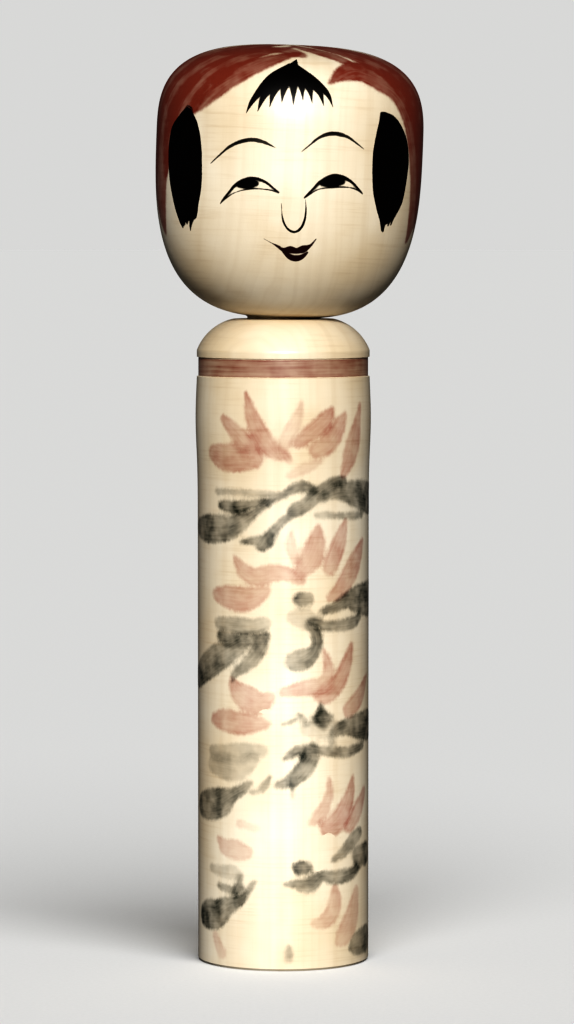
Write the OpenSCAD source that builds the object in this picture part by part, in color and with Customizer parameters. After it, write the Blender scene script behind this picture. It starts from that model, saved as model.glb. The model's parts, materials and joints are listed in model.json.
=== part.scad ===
// Kokeshi doll: a turned body and a turned head that turns on its own tenon.
// The doll stands on Z = 0 with the axis of its body on Z, and it faces -Y.
// Angles go round from the front, towards +X, in degrees. Heights on the body
// are measured from the floor and heights on the head from the head's underside.
// The painting is laid on as thin films, each a node of its own.

/* [Body] */
// Height of the body from the foot to the flat of the shoulder
body_h = 170.3; // [140:0.1:230]
// Diameter of the body
body_d = 45.3; // [37:0.1:60]
// How far the body swells under the shoulder, on the radius
chest_swell = 0.55; // [0:0.05:2]
// Height of the swell below the shoulder groove
chest_drop = 11; // [6:0.5:30]
// Bevel round the foot
foot_bevel = 0.6; // [0.2:0.1:2]

/* [Shoulder] */
// Radius of the rounded shoulder
shoulder_round = 13.4; // [8:0.1:14]
// Angle at which the rounding leaves the rim
shoulder_from = 21; // [0:1:40]
// Angle at which the rounding meets the flat
shoulder_to = 77; // [60:1:90]
// Height of the plain rim between the shoulder and the painted groove
rim_h = 1.9; // [1:0.1:5]
// How far the rim stands out beyond the body, on the radius
rim_out = 0.2; // [0:0.05:1]
// Height of the painted groove
groove_h = 4.9; // [2:0.1:10]
// Depth of the painted groove
groove_depth = 0.45; // [0.2:0.05:1.5]

/* [Head] */
// Height of the head
head_h = 71.7; // [60:0.1:90]
// Largest diameter of the head
head_d = 70.3; // [58:0.1:90]
// Height of the largest diameter above the underside
head_widest = 47.4; // [30:0.1:55]
// How square the outline is: 2 is an ellipse
head_squareness = 3; // [2:0.1:3.2]
// How far the head leans towards +X on its tenon
head_lean = 2.1; // [0:0.1:3]

/* [Neck joint] */
// Diameter of the tenon under the head
tenon_d = 19; // [14:0.1:24]
// Length of the tenon below the head
tenon_l = 24; // [16:0.5:32]
// Length of the swelled end that holds the tenon in
tenon_end_l = 7; // [4:0.5:10]
// How far the end swells beyond the tenon, on the radius
tenon_snap = 0.35; // [0.1:0.05:0.6]
// Radial running gap between tenon and socket
neck_fit = 0.05; // [0.02:0.01:0.1]
// Gap between the head and the shoulder
neck_gap = 0.25; // [0.2:0.05:1]
// Play of the swelled end under the lip of its socket, along the axis
snap_play = 0.3; // [0.1:0.05:1]
// Free space under the tenon
socket_end_gap = 1.5; // [0.5:0.1:4]

/* [Painting] */
// Thickness of the ink and dye films
film = 0.15; // [0.1:0.01:0.3]
// Drop from the shoulder groove to the heart of the top flower
first_flower = 22; // [18:0.5:30]
// Height of the heart of the lowest flower above the floor
last_flower = 6; // [5:0.5:12]

/* [Hidden] */
$fn = 96;

wood = "#dfc79b";
ink = "#1d1815";
red_dye = "#a8483a";
green_dye = "#4d5f49";

body_r = body_d / 2;
head_r = head_d / 2;
tenon_r = tenon_d / 2;
shoulder_rise = shoulder_round * (sin(shoulder_to) - sin(shoulder_from));
rim_z = body_h - shoulder_rise;
rim_r = body_r + rim_out;
groove_top = rim_z - rim_h;
groove_z = groove_top - groove_h;
chest_z = groove_z - chest_drop;
swell_reach = 11;
groove_r = body_r_at(groove_z) - groove_depth;
side_steps = 20;
arc_steps = 14;
head_steps = 26;
snap_ramp = 1.5;
socket_mouth = 2;
tenon_root = 1;

// Strokes are lists of [degrees round, height, width], painted from the first point to the last.
// Those of the face are drawn for a head of this height and diameter, and grow with it.
drawn_head_h = 71.7;
drawn_head_d = 70.3;
bang_tips = [[-19, 53.8], [-14, 54.4], [-9, 55.6], [-4, 56.6], [1, 56.4], [5, 57.6], [9, 57], [14, 56.4], [18, 56.2]];
bang_tuft = [[1, 66.4, 0.3], [0, 65, 3], [0, 61.5, 7]];
lock_left = [[-48, 53.5, 1.5], [-49.5, 51, 8], [-51, 46, 12], [-51.5, 40, 14], [-51, 33, 13.5],
             [-50, 28, 10.5], [-50, 25, 7.5], [-53, 22.5, 1.5]];
lock_right = [[43, 54, 1.5], [46, 52, 7], [49, 47, 12.5], [50, 41, 14.5], [50, 34, 13],
              [50, 29, 10.5], [50, 26.5, 7.5], [47, 24.5, 3]];
brow_strokes = [
    [[-34, 40, 0.5], [-28, 43.3, 0.9], [-21, 45.4, 1.1], [-16, 46, 1.3], [-11, 45.5, 1.1], [-6, 44.2, 0.6]],
    [[6, 43.8, 0.4], [10, 46, 0.8], [14, 47.8, 1.1], [18, 48.3, 1.3], [23, 48.1, 1.2], [32, 45.2, 0.4]]];
upper_lids = [
    [[-29, 30, 0.4], [-26, 32.2, 0.7], [-22, 34.6, 0.9], [-16, 36.1, 0.9], [-10, 35.4, 0.9], [-4, 32.8, 0.4]],
    [[8, 32, 0.4], [11, 34.2, 0.8], [14, 36, 0.9], [20, 37.6, 1], [27, 36.4, 0.9], [32.5, 33.8, 0.4]]];
lower_lids = [
    [[-28.5, 30.2, 0.4], [-23, 32.3, 0.6], [-16, 33.4, 0.8], [-9, 33.3, 0.8], [-4, 32.8, 0.4]],
    [[8, 32, 0.4], [13, 33.9, 0.7], [20, 34.6, 0.8], [27, 34.7, 0.8], [32.5, 33.8, 0.4]]];
pupils = [[[-22, 34, 1.2], [-17.5, 34.7, 2.6], [-13, 34.7, 1.4]], [[14, 35.2, 1.2], [19, 36, 3], [24, 36, 1.6]]];
nose_stroke = [[-3, 29.6, 0.3], [-2, 27, 0.6], [0, 24, 0.7], [4, 22.8, 0.8], [8, 24.5, 0.9], [9, 27.5, 0.9], [8.5, 31, 0.3]];
upper_lip = [[-5, 19.3, 0.3], [-1, 18.1, 0.8], [2, 18.2, 1.8], [5, 18.1, 1.5], [8, 18.6, 1.8], [13, 21, 0.3]];
lower_lip = [[-1, 17.8, 0.4], [1.5, 16.4, 0.8], [4.5, 15.8, 0.9], [7.5, 16.2, 0.8], [10, 17.6, 0.4]];

// Crown strokes run from the middle of the crown outwards: [degrees round, height where they end, widest]
crown_left = [[-24, 60, 14], [-44, 55, 14], [-71, 21, 11], [-89, 24, 12], [-108, 31, 11]];
crown_right = [[30, 61, 11], [49, 56, 12], [70, 22, 11], [88, 25, 12], [107, 32, 11]];
// Height at which a crown stroke turns down the side of the head
crown_brim = 54;

// Petals and leaves of each flower, in heights from the heart of that flower,
// drawn for a body of this diameter and flowers this far apart
drawn_body_d = 45.3;
drawn_pitch = 31.75;
petal_strokes = [
    [[[-7, 1, 1], [-16, 11, 4], [-26, 17.5, 0.6]], [[-20, 1, 1], [-30, 7, 4], [-39, 11, 0.8]],
     [[-22, 0, 1.5], [-38, 1.5, 6], [-54, 2, 2]], [[1, 4, 0.8], [6, 11, 2.6], [12, 16, 0.6]],
     [[12, 4, 1], [22, 10, 3.6], [32, 13.5, 0.8]], [[22, 2, 1], [34, 8, 4], [45, 12, 0.8]],
     [[42, -3, 1], [53, 5, 4.4], [61, 12, 0.8]]],
    [[[10, 2.5, 1], [-14, 3, 4.4], [-34, 7, 0.8]], [[-15, -3, 1.5], [-33, -2.5, 5.4], [-51, -1.5, 2]],
     [[8, 6, 0.8], [7, 10, 2.6], [4, 14, 0.6]], [[14, 4, 1], [20, 10, 4], [25, 15.5, 0.8]],
     [[33, 6, 1], [41, 11, 4], [47, 16, 0.8]], [[34, -1, 1], [54, 4, 4.4], [72, 9, 1]]],
    [[[-9, 1, 1], [-23, 1.5, 5], [-37, 7, 0.8]], [[-12, -6, 1.5], [-32, -4.5, 6], [-51, -3.5, 2]],
     [[24, 3, 0.8], [33, 9, 2.6], [29, 15, 0.6]], [[25, 1, 1], [44, 6, 4], [57, 14, 0.8]],
     [[47, -3.5, 1], [66, -0.5, 4.4], [83, 2, 1]]],
    [[[20, 2, 0.8], [33, 7, 2.6], [33, 13, 0.6]], [[29, -1, 1], [45, 4, 4], [54, 11, 0.8]],
     [[47, -2, 1], [58, 3, 4.4], [68, 7, 1]], [[-14, -4, 1.5], [-30, -5, 5], [-46, -7, 1.5]]],
    [[[22, 5, 0.8], [33, 9, 2.8], [38, 14, 0.6]], [[46, 2.5, 1], [56, 7, 5], [64, 11.5, 1]],
     [[-26, -1, 1], [-38, 0.5, 3.6], [-52, 1, 1]]]];
leaf_strokes = [
    [[[-50, -6.5, 1.5], [-24, -7.2, 2.2], [4, -7.8, 1]], [[-50, -9.8, 2], [-32, -10, 3.2], [-14, -9, 1.6], [9, -6.2, 1.6]],
     [[-74, -19, 4], [-50, -17.4, 4.6], [-30, -14.4, 3.2], [-10, -11, 0.8]],
     [[-29, -20.6, 1], [-14, -20.2, 2.6], [2, -14, 2.2], [18, -10, 3.2], [34, -7, 3.4], [50, -5.2, 3]],
     [[46, -9, 2], [60, -9, 6], [80, -8.5, 7]], [[24, -12.6, 1], [34, -13.4, 2.2], [45, -14, 1]]],
    [[[10, -3.6, 2], [14, -3, 3.6], [19, -2.6, 1.6]], [[-50, -12, 2], [-30, -11.2, 4.6], [-13, -10.6, 1]],
     [[-68, -27, 6], [-52, -22, 7], [-38, -19, 5], [-22, -15.6, 1.2]], [[-34, -24, 0.8], [-22, -19.4, 2.4], [-12, -13.6, 1]],
     [[19, -11.8, 1.6], [24, -15.4, 2], [20, -19.4, 3], [11, -19.2, 4.4]],
     [[29, -6.6, 1.5], [45, -3.6, 3], [63, -2.4, 5], [80, -3, 5]], [[29, -10.4, 1], [45, -11, 2.4], [60, -11.6, 1]]],
    [[[10, -3.6, 1], [15, -3.2, 2]], [[24, -4, 2.4], [28, -2.4, 4.4]], [[40, -8, 1], [58, -8.6, 3.6], [82, -9, 6]],
     [[-64, -16, 6], [-40, -15, 6.4], [-15, -12.4, 3]], [[1, -13.2, 1], [11, -11.4, 3.4], [19, -13.4, 3.6], [12, -19, 1]],
     [[23, -11.4, 2], [42, -12.4, 2.6], [62, -13.4, 2]], [[-68, -29, 5], [-52, -26.6, 6.4], [-32, -22.6, 1.4]],
     [[-22, -23.4, 1], [-16, -21, 2], [-10, -19, 1]]],
    [[[-47, -16.4, 1], [-38, -17, 2], [-30, -17.4, 1]], [[1, -15.2, 1], [13, -17.4, 2], [25, -14.4, 3.2], [44, -14.2, 3], [60, -14.6, 1.6]],
     [[9, -11, 2.4], [17, -10.4, 3.4]], [[37, -9.6, 1], [50, -7, 2.8], [64, -5, 3]], [[58, -9, 2], [66, -9.4, 5], [78, -9.6, 5]],
     [[-66, -25, 5], [-50, -23.6, 5.4], [-34, -21.4, 2], [-18, -14.6, 0.8]]],
    [[[60, -1.4, 2], [68, -1.6, 4], [80, -2, 3.4]], [[1, -4, 1], [7, -4.2, 1.6]]]];

flowers = len(petal_strokes);
flower_pitch = (groove_z - first_flower - last_flower) / (flowers - 1);
face_tall = head_h / drawn_head_h;
face_wide = head_d / drawn_head_d;
flower_tall = flower_pitch / drawn_pitch;
flower_wide = body_d / drawn_body_d;

// Radius of the head at height z, grown by g all round
function head_r_at(z, g = 0) =
    let (half = (z < head_widest ? head_widest : head_h - head_widest) + g)
    (head_r + g) * pow(max(0, 1 - pow(abs(z - head_widest) / half, head_squareness)), 1 / head_squareness);

// Half outline of the head from the middle of its underside to the middle of its crown
function head_outline(g = 0) =
    [for (i = [-head_steps:head_steps])
        let (t = 90 * i / head_steps, power = 2 / head_squareness)
        [(head_r + g) * pow(cos(t), power),
         head_widest + sign(t) * pow(abs(sin(t)), power) * ((t < 0 ? head_widest : head_h - head_widest) + g)]];

// Radius of the body's side at height z
function body_r_at(z, g = 0) = body_r + g + chest_swell * exp(-pow((z - chest_z) / swell_reach, 2));

// The body's side from the bevel of the foot to the groove
function body_side(g = 0) =
    [for (i = [0:side_steps])
        let (z = foot_bevel + (groove_z - foot_bevel) * i / side_steps)
        [body_r_at(z, g), z]];

// A smooth line through the given points
function spline(a, b, c, d, t) =
    (2 * b + (c - a) * t + (2 * a - 5 * b + 4 * c - d) * t * t + (3 * b - a - 3 * c + d) * t * t * t) / 2;
function smooth(p, steps = 3) =
    let (last = len(p) - 1)
    concat([for (i = [0:last - 1], s = [0:steps - 1])
               spline(p[max(i - 1, 0)], p[i], p[i + 1], p[min(i + 2, last)], s / steps)], [p[last]]);

// One side of a stroke: hand is 1 for its left and -1 for its right
function stroke_side(q, hand) =
    [for (i = [0:len(q) - 1])
        let (way = q[min(i + 1, len(q) - 1)] - q[max(i - 1, 0)], l = norm([way[0], way[1]]))
        [q[i][0] - hand * way[1] / l * q[i][2] / 2, q[i][1] + hand * way[0] / l * q[i][2] / 2]];
// The round end of a stroke, where it is wide enough to show one
function stroke_end(at, before) =
    let (way = at - before, l = norm([way[0], way[1]]), x = way[0] / l, y = way[1] / l)
    [for (a = at[2] < 1 ? [] : [60, 0, -60])
        [at[0] + at[2] / 2 * (x * cos(a) - y * sin(a)), at[1] + at[2] / 2 * (y * cos(a) + x * sin(a))]];
function backwards(p) = [for (i = [len(p) - 1:-1:0]) p[i]];
function stroke_outline(q) =
    let (last = len(q) - 1)
    concat(stroke_side(q, 1), stroke_end(q[last], q[last - 1]),
           backwards(stroke_side(q, -1)), stroke_end(q[0], q[1]));

// One stroke, pressed straight in towards the axis
module stroke(points, on_head = false) {
    middle = (points[0][0] + points[len(points) - 1][0]) / 2;
    tall = on_head ? face_tall : flower_tall;
    wide = on_head ? face_wide : flower_wide;
    rotate([0, 0, middle])
        rotate([90, 0, 0])
            linear_extrude(height = max(head_r, body_r) + 2)
                polygon(stroke_outline(smooth(
                    [for (p = points)
                        [(on_head ? head_r_at(p[1] * tall) : body_r) * sin(p[0] - middle),
                         p[1] * tall, p[2] * wide]])));
}

// Seats its children on the neck, in the head's own leaning frame
module on_neck() {
    translate([0, 0, body_h])
        rotate([0, head_lean, 0])
            translate([0, 0, neck_gap])
                children();
}

// A film on the head, where its children press through
module head_film() {
    on_neck()
        intersection() {
            difference() {
                rotate_extrude() polygon(head_outline(film));
                rotate_extrude() polygon(head_outline());
            }
            union() children();
        }
}

// A film on the side of the body, where its children press through
module body_film() {
    intersection() {
        rotate_extrude() polygon(concat(body_side(film), backwards(body_side())));
        union() children();
    }
}

// The tenon with its swelled end, or with its gaps the socket that it turns in
module tenon_shape(top, fit = 0, play = 0, end_gap = 0) {
    neck = tenon_r + fit;
    swelled = neck + tenon_snap;
    swell_top = tenon_end_l - tenon_l + play;
    end = -tenon_l - end_gap;
    rotate_extrude()
        polygon([[0, top], [neck, top], [neck, swell_top], [swelled, swell_top - snap_ramp],
                 [swelled, end + snap_ramp], [neck - tenon_snap, end], [0, end]]);
}

module body() {
    color(wood)
        difference() {
            rotate_extrude()
                polygon(concat(
                    [[0, 0], [body_r - foot_bevel, 0]],
                    body_side(),
                    [[groove_r, groove_z], [groove_r, groove_top], [rim_r, groove_top]],
                    [for (i = [0:arc_steps])
                        let (a = shoulder_from + (shoulder_to - shoulder_from) * i / arc_steps)
                        [rim_r + shoulder_round * (cos(a) - cos(shoulder_from)),
                         rim_z + shoulder_round * (sin(a) - sin(shoulder_from))]],
                    [[0, body_h]]));
            on_neck() tenon_shape(socket_mouth, neck_fit, snap_play, socket_end_gap);
        }
}

module head() {
    color(wood)
        on_neck()
            union() {
                rotate_extrude() polygon(head_outline());
                tenon_shape(tenon_root);
            }
}

module bang_shapes() {
    stroke(bang_tuft, true);
    for (tip = bang_tips)
        stroke([[tip[0] / 5, 64, 2], [tip[0] * 0.65, 60.5, 3.2], [tip[0] * 0.9, (60 + tip[1]) / 2, 1.8],
                [tip[0], tip[1], 0.3]], true);
}

// A short stroke ends in a point on the crown; a long one turns down the side of the head
module crown_stroke(round, end, widest) {
    long = end < crown_brim;
    tip = long ? head_r + 2 : head_r_at(end * face_tall);
    half = widest / 2 * face_wide;
    rotate([0, 0, round])
        translate([0, 0, crown_brim * face_tall])
            linear_extrude(height = head_h)
                polygon([[-1.5, -3], [-half, -0.75 * tip], [-half, -0.9 * tip], [long ? -half : 0, -tip],
                         [long ? half : 0, -tip], [half, -0.9 * tip], [half, -0.75 * tip], [1.5, -3]]);
    if (long)
        stroke([[round, crown_brim + 0.5, widest], [round, (crown_brim + end) / 2, widest],
                [round, end + 3, 0.7 * widest], [round, end, 0.3 * widest]], true);
}

module crown_shapes(strokes) {
    for (s = strokes) crown_stroke(s[0], s[1], s[2]);
}

module bangs() {
    color(ink) head_film() bang_shapes();
}

module side_lock(points) {
    color(ink) head_film() stroke(points, true);
}

module crown_dye(strokes, lock) {
    color(red_dye)
        head_film()
            difference() {
                crown_shapes(strokes);
                bang_shapes();
                stroke(lock, true);
            }
}

module brow(side) {
    color(ink) head_film() stroke(brow_strokes[side], true);
}

module eye(side) {
    color(ink)
        head_film() {
            stroke(upper_lids[side], true);
            stroke(lower_lids[side], true);
            stroke(pupils[side], true);
        }
}

module nose_line() {
    color(ink) head_film() stroke(nose_stroke, true);
}

module mouth() {
    color(red_dye)
        head_film() {
            stroke(upper_lip, true);
            stroke(lower_lip, true);
        }
}

module shoulder_band() {
    color(red_dye)
        translate([0, 0, groove_z])
            difference() {
                cylinder(h = groove_h, r = groove_r + film);
                translate([0, 0, -1]) cylinder(h = groove_h + 2, r = groove_r);
            }
}

module strokes_of(list, i) {
    translate([0, 0, groove_z - first_flower - (i - 1) * flower_pitch])
        for (s = list[i - 1])
            stroke(s);
}

module petals(i) {
    color(red_dye)
        body_film()
            difference() {
                strokes_of(petal_strokes, i);
                strokes_of(leaf_strokes, i);
                if (i > 1) strokes_of(leaf_strokes, i - 1);
            }
}

module leaves(i) {
    color(green_dye) body_film() strokes_of(leaf_strokes, i);
}

body();
head();
bangs();
side_lock(lock_left);  // side_lock_left
side_lock(lock_right);  // side_lock_right
crown_dye(crown_left, lock_left);  // crown_dye_left
crown_dye(crown_right, lock_right);  // crown_dye_right
brow(0);  // brow_left
brow(1);  // brow_right
eye(0);  // eye_left
eye(1);  // eye_right
nose_line();
mouth();
shoulder_band();
for (i = [1:flowers])
    petals(i);
for (i = [1:flowers])
    leaves(i);
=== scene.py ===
import json
import math
import random

import bpy
import numpy as np
from mathutils import Matrix, Vector


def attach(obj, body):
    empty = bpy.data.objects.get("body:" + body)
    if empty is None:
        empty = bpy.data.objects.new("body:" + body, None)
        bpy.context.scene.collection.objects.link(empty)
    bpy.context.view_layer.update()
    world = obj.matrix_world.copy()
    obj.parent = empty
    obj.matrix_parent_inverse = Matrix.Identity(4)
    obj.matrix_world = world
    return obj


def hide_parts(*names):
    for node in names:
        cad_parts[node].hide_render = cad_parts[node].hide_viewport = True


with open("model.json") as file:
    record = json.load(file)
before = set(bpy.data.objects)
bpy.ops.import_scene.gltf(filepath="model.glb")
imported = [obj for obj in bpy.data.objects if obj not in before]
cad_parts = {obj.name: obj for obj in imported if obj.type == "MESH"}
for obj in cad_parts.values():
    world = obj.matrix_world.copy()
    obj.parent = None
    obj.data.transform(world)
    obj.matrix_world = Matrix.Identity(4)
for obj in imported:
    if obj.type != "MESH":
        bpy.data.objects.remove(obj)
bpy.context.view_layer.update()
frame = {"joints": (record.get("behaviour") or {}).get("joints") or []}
mm = 0.001  # all sizes below are in millimetres unless they say otherwise
neck = Vector(frame["joints"][0]["pos_m"]) / mm
neckAxis = Vector(frame["joints"][0]["axis"])
lean = math.atan2(neckAxis.x, neckAxis.z)  # how far the head leans towards +X
toHeadSlant = Matrix.Translation(neck) @ Matrix.Rotation(lean, 4, "Y") @ Matrix.Translation(-neck)
print("frame loaded, the head leans", round(math.degrees(lean), 2), "degrees")


def toLinear(hexColour):  # an sRGB hex value as linear red, green, blue and alpha
    parts = [int(hexColour[i:i + 2], 16) / 255 for i in (1, 3, 5)]
    return (*[c / 12.92 if c <= 0.04045 else ((c + 0.055) / 1.055) ** 2.4 for c in parts], 1)


def addNode(tree, kind, links=None, out=0, **settings):  # adds a node and gives back one of its outputs
    node = tree.nodes.new(kind)
    for name, value in settings.items():
        setattr(node, name, value)
    for socket, value in (links or {}).items():  # a socket is linked, anything else is set
        if isinstance(value, bpy.types.NodeSocket):
            tree.links.new(value, node.inputs[socket])
        else:
            node.inputs[socket].default_value = value
    return node.outputs[out] if len(node.outputs) else node


def newTree(name, inputs):  # a Geometry Nodes tree with named inputs, and its Group Input node
    tree = bpy.data.node_groups.new(name, "GeometryNodeTree")
    tree.interface.new_socket("Geometry", in_out="OUTPUT", socket_type="NodeSocketGeometry")
    tree.interface.new_socket("Geometry", in_out="INPUT", socket_type="NodeSocketGeometry")
    for label, kind in inputs:
        tree.interface.new_socket(label, in_out="INPUT", socket_type="NodeSocket" + kind)
    return tree, tree.nodes.new("NodeGroupInput").outputs


def makePiece(name, tree, values):  # runs a tree with these values and keeps its result as a plain mesh
    piece = bpy.data.objects.new(name, bpy.data.meshes.new(name))
    bpy.context.scene.collection.objects.link(piece)
    modifier = piece.modifiers.new("make", "NODES")
    modifier.node_group = tree
    sockets = {s.name: s.identifier for s in tree.interface.items_tree if s.in_out == "INPUT"}
    for label, value in values.items():
        modifier[sockets[label]] = value
    depsgraph = bpy.context.evaluated_depsgraph_get()
    made = bpy.data.meshes.new_from_object(piece.evaluated_get(depsgraph),
                                           preserve_all_data_layers=True, depsgraph=depsgraph)
    piece.modifiers.clear()
    piece.data = made
    made.name = name
    used = made.materials[made.polygons[0].material_index]
    made.materials.clear()
    made.materials.append(used)
    made.polygons.foreach_set("material_index", [0] * len(made.polygons))
    return piece


def guide(name, data):  # a helper object that a tree reads, removed at the end
    thing = bpy.data.objects.new(name, data)
    bpy.context.scene.collection.objects.link(thing)
    guides.append(thing)
    return thing


guides = []

# camera, light and floor
studio = {
    "lens": 157.6,  # for a sensor 36 mm high
    "cameraPlace": (1, -1186, 196),
    "lookDown": 3.71,  # degrees
    "floorSize": 60000,
    "floorPale": "#dcdcdb",
    "floorFleck": "#d5d5d4",
    "flecks": 0.9,  # to a millimetre
    "backdrop": (0.445, 0.445, 0.441),  # what the far floor meets
    "fill": 0.055,  # strength of the even light from all round
    "aim": (0, 0, 130),  # what the key and the rear light point at
    "keyPlace": (50, -2600, 1240),
    "keySize": 580,
    "keyPower": 68,  # watts
    "lowPlace": (0, -1250, 150),  # a soft spot that lifts the light towards the foot
    "lowAim": (0, 0, 5),
    "lowPower": 9,
    "lowSpread": 13,  # degrees across
    "lowSoft": 40,  # radius of the lamp
    "rearPlace": (0, 1100, 190),  # lights the far side, which the camera in front can't see
    "rearSize": 300,
    "rearPower": 6.5,
    "sunFrom": (200, -900, 1200),  # lights only the floor
    "sunPower": 2.36,
    "sunSoft": 50,  # degrees across
}

camera = bpy.data.objects.new("camera", bpy.data.cameras.new("camera"))
camera.data.lens = studio["lens"]
camera.location = Vector(studio["cameraPlace"]) * mm
camera.rotation_euler = (math.radians(90 - studio["lookDown"]), 0, 0)
bpy.context.scene.collection.objects.link(camera)
bpy.context.scene.camera = camera


def addLight(name, kind, place, aim, power):
    lamp = bpy.data.objects.new(name, bpy.data.lights.new(name, kind))
    lamp.data.energy = power
    lamp.location = Vector(place) * mm
    lamp.rotation_euler = (Vector(aim) * mm - lamp.location).to_track_quat("-Z", "Y").to_euler()
    bpy.context.scene.collection.objects.link(lamp)
    return lamp


key = addLight("key", "AREA", studio["keyPlace"], studio["aim"], studio["keyPower"])
key.data.shape = "DISK"
key.data.size = studio["keySize"] * mm
rear = addLight("rear", "AREA", studio["rearPlace"], studio["aim"], studio["rearPower"])
rear.data.shape = "DISK"
rear.data.size = studio["rearSize"] * mm
rear.visible_camera = False
rear.visible_glossy = False  # or it would leave a bright rim on the shoulder
low = addLight("low", "SPOT", studio["lowPlace"], studio["lowAim"], studio["lowPower"])
low.data.spot_size = math.radians(studio["lowSpread"])
low.data.spot_blend = 1.0
low.data.shadow_soft_size = studio["lowSoft"] * mm
sun = addLight("floorSun", "SUN", studio["sunFrom"], (0, 0, 0), studio["sunPower"])
sun.data.angle = math.radians(studio["sunSoft"])

world = bpy.data.worlds.new("studio")
bpy.context.scene.world = world
world.use_nodes = True
skyTree = world.node_tree
skyTree.nodes.clear()
fillLight = addNode(skyTree, "ShaderNodeBackground", {"Color": (1, 1, 1, 1), "Strength": studio["fill"]})
backdrop = addNode(skyTree, "ShaderNodeBackground", {"Color": (*studio["backdrop"], 1), "Strength": 1.0})
seen = addNode(skyTree, "ShaderNodeLightPath")  # the camera sees the backdrop, the doll only the even light
sky = addNode(skyTree, "ShaderNodeMixShader", {0: seen, 1: fillLight, 2: backdrop})
addNode(skyTree, "ShaderNodeOutputWorld", {0: sky})
bpy.context.scene.view_settings.view_transform = "Standard"
bpy.context.scene.view_settings.look = "Very High Contrast"

# matt card: a pale, even, slightly warm ground with no shine
cardboard = bpy.data.materials.new("mattCard")
cardboard.use_nodes = True
cardTree = cardboard.node_tree
cardPlace = addNode(cardTree, "ShaderNodeTexCoord", out=3)
cardFleck = addNode(cardTree, "ShaderNodeTexNoise",
                    {"Vector": cardPlace, "Scale": studio["flecks"] / mm, "Detail": 3})
cardTone = addNode(cardTree, "ShaderNodeMix", {"Factor": cardFleck, 6: toLinear(studio["floorFleck"]),
                                               7: toLinear(studio["floorPale"])}, out=2, data_type="RGBA")
cardShader = cardTree.nodes["Principled BSDF"]
cardTree.links.new(cardTone, cardShader.inputs["Base Color"])
cardShader.inputs["Roughness"].default_value = 0.9
cardShader.inputs["Specular IOR Level"].default_value = 0.0
half = studio["floorSize"] * mm / 2
floorMesh = bpy.data.meshes.new("floor")
corners = [(-half, -half, 0), (half, -half, 0), (half, half, 0), (-half, half, 0)]
floorMesh.from_pydata(corners, [], [(0, 1, 2, 3)])
floorMesh.materials.append(cardboard)
floor = bpy.data.objects.new("floor", floorMesh)
bpy.context.scene.collection.objects.link(floor)
floor.visible_diffuse = False  # so that the pale floor doesn't light the doll from below
floor.visible_glossy = False
# the sun lights only the floor, and the other lamps everything but the floor
floorOnly = bpy.data.collections.new("floorOnly")
floorOnly.objects.link(floor)
sun.light_linking.receiver_collection = floorOnly
allButFloor = bpy.data.collections.new("allButFloor")
allButFloor.objects.link(floor)
allButFloor.collection_objects[0].light_linking.link_state = "EXCLUDE"
for lamp in (key, rear, low):
    lamp.light_linking.receiver_collection = allButFloor
print("studio set up")

# dogwood, turned and waxed: pale cream wood with fine grain, faint tool marks and a satin skin
dogwood = {
    "pale": "#eadfca",  # fresh cream of the dogwood
    "aged": "#dccaac",  # where years and hands have turned it to honey
    "fibre": "#bea684",  # thin darker fibres along the grain
    "pith": (14, 31, 0),  # where the heart of the tree lay, beside the blank
    "headBlank": (70, 20, 0),  # the head was cut from another place in the wood
    "ringWidth": 2.6,  # one year's growth
    "ringWander": 22,  # over how far a ring strays
    "ringStray": 9,  # how far it strays
    "ringSlope": 0.04,  # how much the rings shift along the grain
    "ringShare": (0.45, 0.75, 0.14),  # noise where it begins, where it is full, and how dark it then is
    "fibreWidth": 0.32,  # wider than real fibres, so that they show
    "fibreLength": 11,
    "fibreDepth": 0.012,
    "fibreShare": (0.52, 0.8, 0.07),
    "patchWidth": 28,  # of the aged patches
    "patchShare": (0.35, 0.7, 1.0),
    "markPitch": 0.8,  # between the marks of the turning tool
    "markAround": 22,  # how far one mark runs round before it changes
    "markHeight": 0.02,
    "markShare": (0.5, 0.72, 1.0),
    "workedWidth": 14,  # of the places where the tool left more marks
    "workedShare": (0.4, 0.62, 0.32),
    "workedLeast": 0.06,
    "wickWidth": 1.1,
    "wickLength": 2,
    "roughness": (0.34, 0.46),
    "roughShare": (0.3, 0.7),
}
wax = {"ior": 1.5, "coat": 0.2, "coatRoughness": 0.28}


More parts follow.
